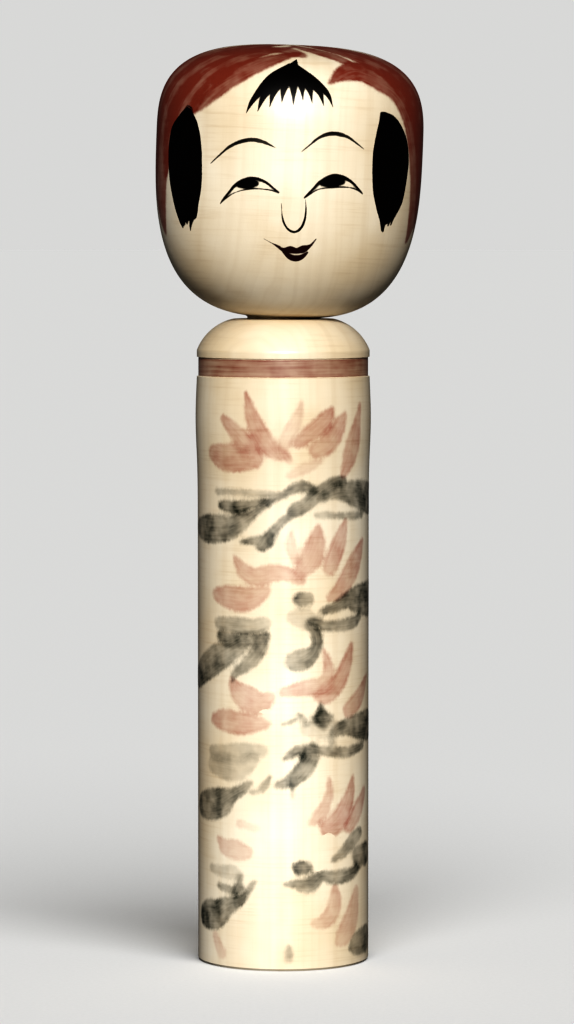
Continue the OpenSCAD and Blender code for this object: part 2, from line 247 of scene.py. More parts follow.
def dogwoodGroup():  # colour, roughness, height in mm and wicking of the wood at a place given in mm
    tree = bpy.data.node_groups.new("dogwoodGrain", "ShaderNodeTree")
    tree.interface.new_socket("Place", in_out="INPUT", socket_type="NodeSocketVector")
    tree.interface.new_socket("Colour", in_out="OUTPUT", socket_type="NodeSocketColor")
    for label in ("Roughness", "Height", "Wick", "Streak"):
        tree.interface.new_socket(label, in_out="OUTPUT", socket_type="NodeSocketFloat")
    place = tree.nodes.new("NodeGroupInput").outputs[0]
    # growth rings: arcs round a pith that lies outside the blank
    fromPith = addNode(tree, "ShaderNodeVectorMath", {0: place, 1: dogwood["pith"]}, operation="ADD")
    squeeze = (1, 1, dogwood["ringSlope"])
    flat = addNode(tree, "ShaderNodeVectorMath", {0: fromPith, 1: squeeze}, operation="MULTIPLY")
    wander = addNode(tree, "ShaderNodeTexNoise",
                     {"Vector": flat, "Scale": 1 / dogwood["ringWander"], "Detail": 2})
    away = addNode(tree, "ShaderNodeVectorMath", {0: flat}, out=1, operation="LENGTH")
    bent = addNode(tree, "ShaderNodeMath", {0: wander, 1: dogwood["ringStray"], 2: away},
                   operation="MULTIPLY_ADD")
    rings = addNode(tree, "ShaderNodeTexNoise", {"W": bent, "Scale": 1 / dogwood["ringWidth"], "Detail": 2},
                    noise_dimensions="1D")
    # fibres along the grain
    thin = (1 / dogwood["fibreWidth"], 1 / dogwood["fibreWidth"], 1 / dogwood["fibreLength"])
    fibrePlace = addNode(tree, "ShaderNodeVectorMath", {0: place, 1: thin}, operation="MULTIPLY")
    fibres = addNode(tree, "ShaderNodeTexNoise",
                     {"Vector": fibrePlace, "Scale": 1, "Detail": 2, "Roughness": 0.6})
    # tool marks run round the piece
    around = (1 / dogwood["markAround"], 1 / dogwood["markAround"], 1 / dogwood["markPitch"])
    markPlace = addNode(tree, "ShaderNodeVectorMath", {0: place, 1: around}, operation="MULTIPLY")
    marks = addNode(tree, "ShaderNodeTexNoise",
                    {"Vector": markPlace, "Scale": 1, "Detail": 3, "Roughness": 0.65})
    # broad patches where wax and hands have darkened the wood, and places where the tool left more marks
    patches = addNode(tree, "ShaderNodeTexNoise",
                      {"Vector": place, "Scale": 1 / dogwood["patchWidth"], "Detail": 3})
    worked = addNode(tree, "ShaderNodeTexNoise",
                     {"Vector": place, "Scale": 1 / dogwood["workedWidth"], "Detail": 2})
    share = {}
    for label, noise, least in (("patch", patches, 0.0), ("fibre", fibres, 0.0), ("ring", rings, 0.0),
                                ("worked", worked, dogwood["workedLeast"]), ("mark", marks, 0.0)):
        begin, full, most = dogwood[label + "Share"]
        share[label] = addNode(tree, "ShaderNodeMapRange", {0: noise, 1: begin, 2: full, 3: least, 4: most})
    share["mark"] = addNode(tree, "ShaderNodeMath", {0: share["mark"], 1: share["worked"]},
                            operation="MULTIPLY")
    tone = toLinear(dogwood["pale"])
    for label, darker in (("patch", "aged"), ("fibre", "fibre"), ("ring", "fibre"), ("mark", "fibre")):
        tone = addNode(tree, "ShaderNodeMix", {0: share[label], 6: tone, 7: toLinear(dogwood[darker])}, out=2,
                       data_type="RGBA")
    (begin, full), (smooth, dull) = dogwood["roughShare"], dogwood["roughness"]
    rough = addNode(tree, "ShaderNodeMapRange", {0: marks, 1: begin, 2: full, 3: smooth, 4: dull})
    fibreHeight = addNode(tree, "ShaderNodeMath", {0: fibres, 1: -dogwood["fibreDepth"]},
                          operation="MULTIPLY")
    height = addNode(tree, "ShaderNodeMath", {0: marks, 1: dogwood["markHeight"], 2: fibreHeight},
                     operation="MULTIPLY_ADD")
    # dye creeps a little up and down the fibres, and unevenly
    creep = (1 / dogwood["wickWidth"], 1 / dogwood["wickWidth"], 1 / dogwood["wickLength"])
    wickPlace = addNode(tree, "ShaderNodeVectorMath", {0: place, 1: creep}, operation="MULTIPLY")
    wick = addNode(tree, "ShaderNodeTexNoise",
                   {"Vector": wickPlace, "Scale": 1, "Detail": 3, "Roughness": 0.7})
    addNode(tree, "NodeGroupOutput", {0: tone, 1: rough, 2: height, 3: wick, 4: marks})
    return tree


dogwoodTree = dogwoodGroup()
brushMarks = {
    "hairWidth": 0.65,  # of the streaks that the brush's hairs leave
    "hairLength": 7,
    "puddle": 4.5,  # width of a wet blotch
    "hairShare": (0.3, 0.7),  # noise where a streak is lightest and where it is full
    "puddleShare": (0.35, 0.65),
    "wickShare": (0.25, 0.75),
    "edge": 0.1,  # dye gathers from this far inside the edge
}


def woodMaterial(name, onHead, lower=None, upper=None, shine=0.5):  # waxed dogwood with up to two dyes on it
    material = bpy.data.materials.new(name)
    material.use_nodes = True
    tree = material.node_tree
    shader = tree.nodes["Principled BSDF"]
    place = addNode(tree, "ShaderNodeTexCoord", out=3)
    if onHead:  # the head was turned on its own leaning axis
        place = addNode(tree, "ShaderNodeMapping", {"Vector": place, "Location": neck * mm * -1},
                        vector_type="POINT")
        place = addNode(tree, "ShaderNodeMapping", {"Vector": place, "Rotation": (0, -lean, 0),
                                                    "Location": Vector(dogwood["headBlank"]) * mm},
                        vector_type="POINT")
    place = addNode(tree, "ShaderNodeVectorMath", {0: place, "Scale": 1 / mm}, operation="SCALE")
    wood = addNode(tree, "ShaderNodeGroup", {0: place}, node_tree=dogwoodTree).node.outputs
    colour, rough = wood["Colour"], wood["Roughness"]
    if lower or upper:
        # brush streaks, along the stroke in its own millimetres
        along = addNode(tree, "ShaderNodeUVMap", uv_map="UVMap")
        hairs = (1 / brushMarks["hairLength"], 1 / brushMarks["hairWidth"], 1)
        fine = addNode(tree, "ShaderNodeVectorMath", {0: along, 1: hairs}, operation="MULTIPLY")
        streak = addNode(tree, "ShaderNodeTexNoise",
                         {"Vector": fine, "Scale": 1, "Detail": 3, "Roughness": 0.6})
        wet = addNode(tree, "ShaderNodeVectorMath", {0: place, "Scale": 1 / brushMarks["puddle"]},
                      operation="SCALE")
        blotch = addNode(tree, "ShaderNodeTexNoise", {"Vector": wet, "Scale": 1, "Detail": 2})
    for which, dye in (("lower", lower), ("upper", upper)):
        if not dye:
            continue
        inside = addNode(tree, "ShaderNodeAttribute", out=2, attribute_name=which + "Inside")
        full = addNode(tree, "ShaderNodeAttribute", out=2, attribute_name=which + "Tone")
        wick, half = dye["wick"], dye["soft"] / 2
        begin, end = brushMarks["wickShare"]
        shift = addNode(tree, "ShaderNodeMapRange", {0: wood["Wick"], 1: begin, 2: end, 3: -wick, 4: wick})
        edge = addNode(tree, "ShaderNodeMath", {0: inside, 1: shift}, operation="ADD")
        amount = addNode(tree, "ShaderNodeMapRange", {0: edge, 1: -half, 2: half, 3: 0.0, 4: 1.0},
                         interpolation_type="SMOOTHSTEP")
        pool = addNode(tree, "ShaderNodeMapRange",
                       {0: edge, 1: brushMarks["edge"], 2: dye["poolWidth"], 3: 1 + dye["pool"], 4: 1.0},
                       interpolation_type="SMOOTHSTEP")
        factors = [full, pool]
        for noise, (begin, end), least, most in (
                (streak, brushMarks["hairShare"], 1 - dye["streak"], 1 + dye["streak"] / 3),
                (blotch, brushMarks["puddleShare"], 1 - dye["blotch"], 1 + dye["blotch"] / 4),
                (wood["Streak"], brushMarks["hairShare"], 1 - dye["grain"], 1.0)):
            factors += [addNode(tree, "ShaderNodeMapRange", {0: noise, 1: begin, 2: end, 3: least, 4: most})]
        for factor in (*factors, dye["strength"]):
            amount = addNode(tree, "ShaderNodeMath", {0: amount, 1: factor}, operation="MULTIPLY")
        amount = addNode(tree, "ShaderNodeMath", {0: amount, 1: 1.0}, operation="MINIMUM")
        colour = addNode(tree, "ShaderNodeMix", {0: amount, 6: colour, 7: toLinear(dye["colour"])}, out=2,
                         data_type="RGBA", blend_type="MULTIPLY")
        rough = addNode(tree, "ShaderNodeMix", {0: amount, 2: rough, 3: dye["roughness"]}, data_type="FLOAT")
    tree.links.new(colour, shader.inputs["Base Color"])
    tree.links.new(rough, shader.inputs["Roughness"])
    high = addNode(tree, "ShaderNodeMath", {0: wood["Height"], 1: mm}, operation="MULTIPLY")
    bump = addNode(tree, "ShaderNodeBump", {"Height": high, "Strength": 1.0, "Distance": 1.0})
    tree.links.new(bump, shader.inputs["Normal"])
    shader.inputs["IOR"].default_value = wax["ior"]
    shader.inputs["Specular IOR Level"].default_value = shine
    shader.inputs["Coat Weight"].default_value = wax["coat"] * shine
    shader.inputs["Coat Roughness"].default_value = wax["coatRoughness"]
    return material


# colour multiplies the wood under it; soft, wick and poolWidth are mm, the rest are shares
petalDye = {"colour": "#b06458", "strength": 0.9, "roughness": 0.42, "soft": 1.5, "wick": 0.4,
            "pool": 0.2, "poolWidth": 1.4, "streak": 0.16, "grain": 0.12, "blotch": 0.3}
leafDye = {"colour": "#2b332b", "strength": 1.02, "roughness": 0.42, "soft": 1.5, "wick": 0.4,
           "pool": 0.05, "poolWidth": 1.0, "streak": 0.14, "grain": 0.08, "blotch": 0.36}
crownDye = {"colour": "#90483c", "strength": 1.15, "roughness": 0.4, "soft": 1.4, "wick": 0.3,
            "pool": 0.1, "poolWidth": 1.0, "streak": 0.09, "grain": 0.03, "blotch": 0.1}
bandDye = {"colour": "#904c3c", "strength": 1.0, "roughness": 0.4, "soft": 0.3, "wick": 0.1,
           "pool": 0.2, "poolWidth": 0.6, "streak": 0.2, "grain": 0.3, "blotch": 0.15}
lipDye = {"colour": "#2c0706", "strength": 1.35, "roughness": 0.38, "soft": 0.2, "wick": 0.06,
          "pool": 0.1, "poolWidth": 0.3, "streak": 0.15, "grain": 0.05, "blotch": 0.05}
inkDye = {"colour": "#0b0807", "strength": 1.15, "roughness": 0.45, "soft": 0.16, "wick": 0.08,
          "pool": 0.0, "poolWidth": 0.4, "streak": 0.05, "grain": 0.0, "blotch": 0.0}
inkShine = 0.12  # soot ink takes most of the shine off the wax

bareBody = woodMaterial("waxedDogwoodBody", False)  # pale close-grained wood under a satin skin of wax
bareHead = woodMaterial("waxedDogwoodHead", True)  # the same, with its tool marks round the leaning axis
bandPaint = woodMaterial("dyedDogwoodBand", False, None, bandDye)  # laid on in turning, so it streaks round
# margin: how far the film reaches past the stroke, in mm; across: how many faces wide a stroke is
flowerPaint = {"margin": 1.3, "across": 14,  # thin dye, so the grain shows through
               "material": woodMaterial("dyedDogwoodFlowers", False, petalDye, leafDye)}
crownPaint = {"margin": 0.95, "across": 16,  # dark red dye with soft edges, and ink over it
              "material": woodMaterial("dyedDogwoodCrown", True, crownDye, inkDye)}
inkPaint = {"margin": 0.3, "across": 6,  # soot ink, black and nearly matt under the wax
            "material": woodMaterial("inkedDogwoodHair", True, crownDye, inkDye, inkShine)}
lipPaint = {"margin": 0.25, "across": 6,  # strong dark red, nearly opaque
            "material": woodMaterial("dyedDogwoodLips", True, None, lipDye)}
print("materials ready")

# the two turned pieces
lathe = {
    "bodyAround": 160,  # faces round the piece
    "headAround": 176,
    "ring": 0.5,  # height of a row of faces
    "coarse": 2,  # the same where nothing shows
    "sharp": 35,  # degrees; an edge that bends more is a crisp corner
    "markDepth": 0.012,
    "markPitch": 1.3,
    "markFrom": 10,  # the marks fade out within this radius
    "weld": 0.001,
}


def latheTree():  # turns a half outline (radius, which axis, height) into a closed solid
    tree, inputs = newTree("turnOnLathe", [
        ("Outline", "Object"), ("Around", "Int"), ("Neck", "Vector"), ("Lean", "Float"),
        ("Mark Depth", "Float"), ("Mark Pitch", "Float"), ("Seed", "Float"), ("Wood", "Material")])
    outline = addNode(tree, "GeometryNodeObjectInfo", {0: inputs["Outline"]}, out=4)
    rows = addNode(tree, "GeometryNodeAttributeDomainSize", {0: outline}, component="MESH")
    columns = addNode(tree, "FunctionNodeIntegerMath", {0: inputs["Around"], 1: 1}, operation="ADD")
    grid = addNode(tree, "GeometryNodeMeshGrid", {"Vertices X": columns, "Vertices Y": rows})
    index = addNode(tree, "GeometryNodeInputIndex")
    row = addNode(tree, "FunctionNodeIntegerMath", {0: index, 1: rows}, operation="MODULO")
    column = addNode(tree, "FunctionNodeIntegerMath", {0: index, 1: rows}, operation="DIVIDE_FLOOR")
    place = addNode(tree, "GeometryNodeInputPosition")
    spot = addNode(tree, "GeometryNodeSampleIndex", {"Geometry": outline, "Index": row, "Value": place},
                   data_type="FLOAT_VECTOR", domain="POINT")
    parts = addNode(tree, "ShaderNodeSeparateXYZ", {0: spot}).node.outputs
    turn = addNode(tree, "ShaderNodeMath", {0: column, 1: inputs["Around"]}, operation="DIVIDE")
    angle = addNode(tree, "ShaderNodeMath", {0: turn, 1: math.tau}, operation="MULTIPLY")
    along = addNode(tree, "ShaderNodeMath", {0: parts[2], 1: inputs["Mark Pitch"]}, operation="DIVIDE")
    along = addNode(tree, "ShaderNodeMath", {0: along, 1: inputs["Seed"]}, operation="ADD")
    mark = addNode(tree, "ShaderNodeTexNoise", {"W": along, "Scale": 1, "Detail": 1}, noise_dimensions="1D")
    mark = addNode(tree, "ShaderNodeMath", {0: mark, 1: 0.5}, operation="SUBTRACT")
    mark = addNode(tree, "ShaderNodeMath", {0: mark, 1: inputs["Mark Depth"]}, operation="MULTIPLY")
    offAxis = addNode(tree, "ShaderNodeMapRange",
                      {0: parts[0], 1: 0.0, 2: lathe["markFrom"] * mm, 3: 0.0, 4: 1.0})
    radius = addNode(tree, "ShaderNodeMath", {0: mark, 1: offAxis, 2: parts[0]}, operation="MULTIPLY_ADD")
    cosine = addNode(tree, "ShaderNodeMath", {0: angle}, operation="COSINE")
    sine = addNode(tree, "ShaderNodeMath", {0: angle}, operation="SINE")
    spotX = addNode(tree, "ShaderNodeMath", {0: radius, 1: cosine}, operation="MULTIPLY")
    spotY = addNode(tree, "ShaderNodeMath", {0: radius, 1: sine}, operation="MULTIPLY")
    ringPlace = addNode(tree, "ShaderNodeCombineXYZ", {0: spotX, 1: spotY, 2: parts[2]})
    slant = addNode(tree, "ShaderNodeMath", {0: parts[1], 1: 1 / mm}, operation="MULTIPLY")
    slant = addNode(tree, "ShaderNodeMath", {0: slant, 1: inputs["Lean"]}, operation="MULTIPLY")
    placed = addNode(tree, "ShaderNodeVectorRotate", {"Vector": ringPlace, "Center": inputs["Neck"],
                                                      "Axis": (0, 1, 0), "Angle": slant},
                     rotation_type="AXIS_ANGLE")
    turned = addNode(tree, "GeometryNodeSetPosition", {0: grid, "Position": placed})
    turned = addNode(tree, "GeometryNodeStoreNamedAttribute",
                     {0: turned, "Name": "UVMap", "Value": grid.node.outputs[1]},
                     data_type="FLOAT2", domain="CORNER")
    turned = addNode(tree, "GeometryNodeMergeByDistance", {0: turned, "Distance": lathe["weld"] * mm})
    turned = addNode(tree, "GeometryNodeSetShadeSmooth", {0: turned, "Shade Smooth": True}, domain="FACE")
    bend = addNode(tree, "GeometryNodeInputMeshEdgeAngle")
    corner = addNode(tree, "ShaderNodeMath", {0: bend, 1: math.radians(lathe["sharp"])},
                     operation="GREATER_THAN")
    turned = addNode(tree, "GeometryNodeSetShadeSmooth",
                     {0: turned, "Selection": corner, "Shade Smooth": False}, domain="EDGE")
    turned = addNode(tree, "GeometryNodeRealizeInstances", {0: turned})
    turned = addNode(tree, "GeometryNodeSetMaterial", {0: turned, "Material": inputs["Wood"]})
    addNode(tree, "NodeGroupOutput", {0: turned})
    return tree


turnOnLathe = latheTree()


def turnPiece(name, outline, around, seed, wood):  # outline: (radius, 0 own axis or 1 the neck's, height)
    line = bpy.data.meshes.new(name + "Outline")
    line.from_pydata([Vector(p) * mm for p in outline], [(i, i + 1) for i in range(len(outline) - 1)], [])
    return makePiece(name, turnOnLathe, {
        "Outline": guide(name + "Outline", line), "Around": around, "Neck": neck * mm, "Lean": lean,
        "Mark Depth": lathe["markDepth"] * mm, "Mark Pitch": lathe["markPitch"] * mm, "Seed": float(seed),
        "Wood": wood})


def steps(start, end, size):  # evenly spaced values from start towards end, without the end
    count = max(1, round(abs(end - start) / size))
    return [start + (end - start) * i / count for i in range(count)]


bodySizes = {
    "height": 170.3, "radius": 22.65, "footBevel": 0.6,
    "swell": 0.55, "swellAt": 144.25, "swellReach": 11,  # the column widens a little under the shoulder
    "grooveLow": 155.25, "grooveHigh": 160.15, "grooveRadius": 22.4, "lip": 0.1,
    "rimRadius": 22.85, "rimTop": 162.05,
    "shoulderRound": 13.4, "shoulderFrom": 21, "shoulderTo": 77, "shoulderStep": 2,  # radius, and degrees
    "mouth": 10.4, "mouthDepth": 0.8, "topStep": 0.7,
    "socket": 9.55, "lipLength": 16.45, "ramp": 1.5,
    "socketEnd": 9.9, "socketFloor": 25.25, "floorBevel": 0.7, "seed": 3,
}


def bodyRadius(height):
    b = bodySizes
    return b["radius"] + b["swell"] * math.exp(-(((height - b["swellAt"]) / b["swellReach"]) ** 2))


def bodyOutline():
    b = bodySizes
    ring, coarse = lathe["ring"], lathe["coarse"]
    foot = bodyRadius(0) - b["footBevel"]
    points = [(r, 0, 0) for r in steps(0, foot, coarse)] + [(foot, 0, 0)]
    low, high = b["grooveLow"], b["grooveHigh"]
    points += [(bodyRadius(z), 0, z) for z in steps(b["footBevel"], low - b["lip"], ring)]
    points += [(bodyRadius(low), 0, low - b["lip"])]
    points += [(b["grooveRadius"], 0, z) for z in steps(low + b["lip"], high, ring)]
    points += [(b["grooveRadius"], 0, high), (b["rimRadius"], 0, high + b["lip"] * 2)]
    points += [(b["rimRadius"], 0, z) for z in steps(high + ring, b["rimTop"], ring)]
    start, end = math.radians(b["shoulderFrom"]), math.radians(b["shoulderTo"])
    for degrees in steps(b["shoulderFrom"], b["shoulderTo"], b["shoulderStep"]):
        turn = math.radians(degrees)
        points.append((b["rimRadius"] + b["shoulderRound"] * (math.cos(turn) - math.cos(start)), 0,
                       b["rimTop"] + b["shoulderRound"] * (math.sin(turn) - math.sin(start))))
    flatFrom = b["rimRadius"] + b["shoulderRound"] * (math.cos(end) - math.cos(start))
    top = b["height"]
    points += [(r, 0, top) for r in steps(flatFrom, b["mouth"], b["topStep"])] + [(b["mouth"], 0, top)]
    # the socket is bored on the neck's axis, and is wider behind its lip
    lipEnd, bottom = top - b["lipLength"], top - b["socketFloor"]
    points += [(b["socket"], 1, z) for z in steps(top - b["mouthDepth"], lipEnd, coarse)]
    points += [(b["socket"], 1, lipEnd), (b["socketEnd"], 1, lipEnd - b["ramp"])]
    points += [(b["socketEnd"], 1, bottom + b["ramp"]), (b["socketEnd"] - b["floorBevel"], 1, bottom)]
    return points + [(r, 1, bottom) for r in steps(b["socketEnd"] - coarse, 0, coarse)] + [(0, 1, bottom)]


def wayAlong(points):  # how far along its line each point lies
    return np.concatenate([[0], np.cumsum(np.linalg.norm(np.diff(points, axis=0), axis=1))])


headSizes = {
    "underside": 170.55, "height": 71.7, "radius": 35.15, "widest": 47.4,
    "squareness": 3,  # 2 would be an egg, and more is boxier
    "tenon": 9.5, "tenonEnd": 9.85, "tenonLength": 24, "endLength": 7, "ramp": 1.5, "endBevel": 0.7,
    "cove": 0.3, "seed": 8,
}


def headRadius(height):  # of the head at this height above its underside
    h = headSizes
    half = h["widest"] if height < h["widest"] else h["height"] - h["widest"]
    share = abs(height - h["widest"]) / half
    return h["radius"] * max(0, 1 - share ** h["squareness"]) ** (1 / h["squareness"])


def headMeridian():  # from under to over, as even steps of (radius, height, way from the middle of the crown)
    h = headSizes
    power = 2 / h["squareness"]
    fine = []
    for tenth in range(-900, 901):  # tenths of a degree
        turn = math.radians(tenth / 10)
        half = h["widest"] if tenth < 0 else h["height"] - h["widest"]
        fine.append((h["radius"] * max(0, math.cos(turn)) ** power,
                     h["widest"] + math.copysign(abs(math.sin(turn)) ** power, tenth) * half))
    fine = np.array(fine)
    run = wayAlong(fine)
    at = np.linspace(0, run[-1], round(run[-1] / lathe["ring"]))
    return np.column_stack([np.interp(at, run, fine[:, 0]), np.interp(at, run, fine[:, 1]), run[-1] - at])


meridian = headMeridian()


def headOutline():
    h = headSizes
    end, wide, coarse = h["underside"] - h["tenonLength"], h["tenonEnd"], lathe["coarse"]
    points = [(r, 1, end) for r in steps(0, wide - h["endBevel"], coarse)]
    points += [(wide - h["endBevel"], 1, end), (wide, 1, end + h["ramp"])]
    points += [(wide, 1, end + h["endLength"] - h["ramp"])]
    points += [(h["tenon"], 1, z) for z in steps(end + h["endLength"], h["underside"], coarse)]
    points += [(h["tenon"], 1, h["underside"])]
    return points + [(r, 1, h["underside"] + z) for r, z, _ in meridian
                     if r > h["tenon"] + h["cove"] or z > h["widest"]]


turnedBody = turnPiece("turnedBody", bodyOutline(), lathe["bodyAround"], bodySizes["seed"], bareBody)
turnedHead = turnPiece("turnedHead", headOutline(), lathe["headAround"], headSizes["seed"], bareHead)
for piece, body in ((turnedBody, "body"), (turnedHead, "head")):
    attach(piece, body)
    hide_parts(body)
print("turned pieces:", len(turnedBody.data.polygons), len(turnedHead.data.polygons), "faces")


# brush strokes are lines of (degrees round from the front, height, width), laid on the wood
def roundAxis(turn, radius, height):
    return Vector((radius * math.sin(math.radians(turn)), -radius * math.cos(math.radians(turn)), height))


def onBody(turn, height):  # a place on the body's side; heights from the floor
    return roundAxis(turn, bodyRadius(height), height)


def onHead(turn, height):  # a place on the head's side; heights from the head's underside
    return toHeadSlant @ roundAxis(turn, headRadius(height), headSizes["underside"] + height)


def onCrown(turn, way):  # a place on the head, this far along the wood from the middle of the crown
    radius, height = (float(np.interp(-way, -meridian[:, 2], meridian[:, k])) for k in (0, 1))
    return toHeadSlant @ roundAxis(turn, radius, headSizes["underside"] + height)


def smoothLine(points, each):  # a smooth line through the points, this many steps between two of them
    p = [Vector(q) for q in points]
    p = [p[0] * 2 - p[1]] + p + [p[-1] * 2 - p[-2]]
    line = []
    for a, b, c, d in zip(p, p[1:], p[2:], p[3:]):
        for i in range(each):
            t = i / each
            line.append((2 * b + (c - a) * t + (2 * a - 5 * b + 4 * c - d) * t * t
                         + (3 * b - a - 3 * c + d) * t ** 3) / 2)
    return line + [p[-2]]


brushWork = {
    "film": 0.05,  # how deep the film's closed underside lies in the wood
    "layer": 0.0015,  # each stroke lies this much above the one before
    "lower": 0.012,  # how high the red dyes lie over the wood
    "face": 0.02,
    "upper": 0.03,  # the ink and the leaves lie over the red
    "step": 0.5,  # between two points of a stroke
    "smooth": 8,  # steps between two given points
    "finest": 0.05,  # half the finest line
    "bendSpan": 2,  # a bend is measured over this many points each way
    "bendShare": 0.8,  # a ribbon is no wider than this much of the bend's radius
    "bendLeast": 0.5,
    "straight": 0.001,  # a smaller change of direction than this is no bend
    "cap": (25, 50, 70, 86),  # degrees round the rounded end of a ribbon
    "level": 0.43,  # share of the half width where the film begins to thin, of 0.5 at the edge
    "apart": 37.0,  # sets the streaks of two strokes apart
    "weld": 0.0001,  # the film's two sides are joined where they meet
    "merge": 0.42,  # how softly wet strokes run together
    "fullest": 0.97,  # the most that one stroke covers
    "look": 3,  # a stroke further off than this is left out
    "deepest": 5,  # further inside or outside than this makes no difference
    "nothing": 1e-6,
}


# tone: how full the brush is; fade: the share of it that is lost on the way
def layStroke(points, spot, tone=1.0, fade=0.0):
    line = smoothLine(points, brushWork["smooth"])
    centre = np.array([spot(q[0], q[1]) for q in line])
    run = wayAlong(centre)
    at = np.linspace(0, run[-1], max(4, round(run[-1] / brushWork["step"])))
    return {"centre": np.column_stack([np.interp(at, run, centre[:, k]) for k in range(3)]),
            "half": np.interp(at, run, [max(brushWork["finest"], q[2] / 2) for q in line]),
            "tone": tone * (1 - fade * at / run[-1])}


def ribbonLine(stroke, margin):  # the stroke's line and half width with its margin and rounded ends
    centre, width = stroke["centre"], stroke["half"] + margin
    back = brushWork["bendSpan"]
    for i in range(back, len(centre) - back):  # no wider than the bend, so that a ribbon doesn't fold over
        before, after = centre[i] - centre[i - back], centre[i + back] - centre[i]
        turn = np.linalg.norm(after / np.linalg.norm(after) - before / np.linalg.norm(before))
        bend = (np.linalg.norm(before) + np.linalg.norm(after)) / 2 / max(turn, brushWork["straight"])
        width[i] = min(width[i], max(brushWork["bendShare"] * bend, brushWork["bendLeast"]))
    line = [(Vector(c), w) for c, w in zip(centre, width)]
    for end, before in ((0, 1), (-1, -2)):
        way = (line[end][0] - line[before][0]).normalized()
        root, reach = line[end]
        cap = [(root + way * reach * math.sin(math.radians(a)), reach * math.cos(math.radians(a)))
               for a in brushWork["cap"]]
        line = cap[::-1] + line if end == 0 else line + cap
    return line


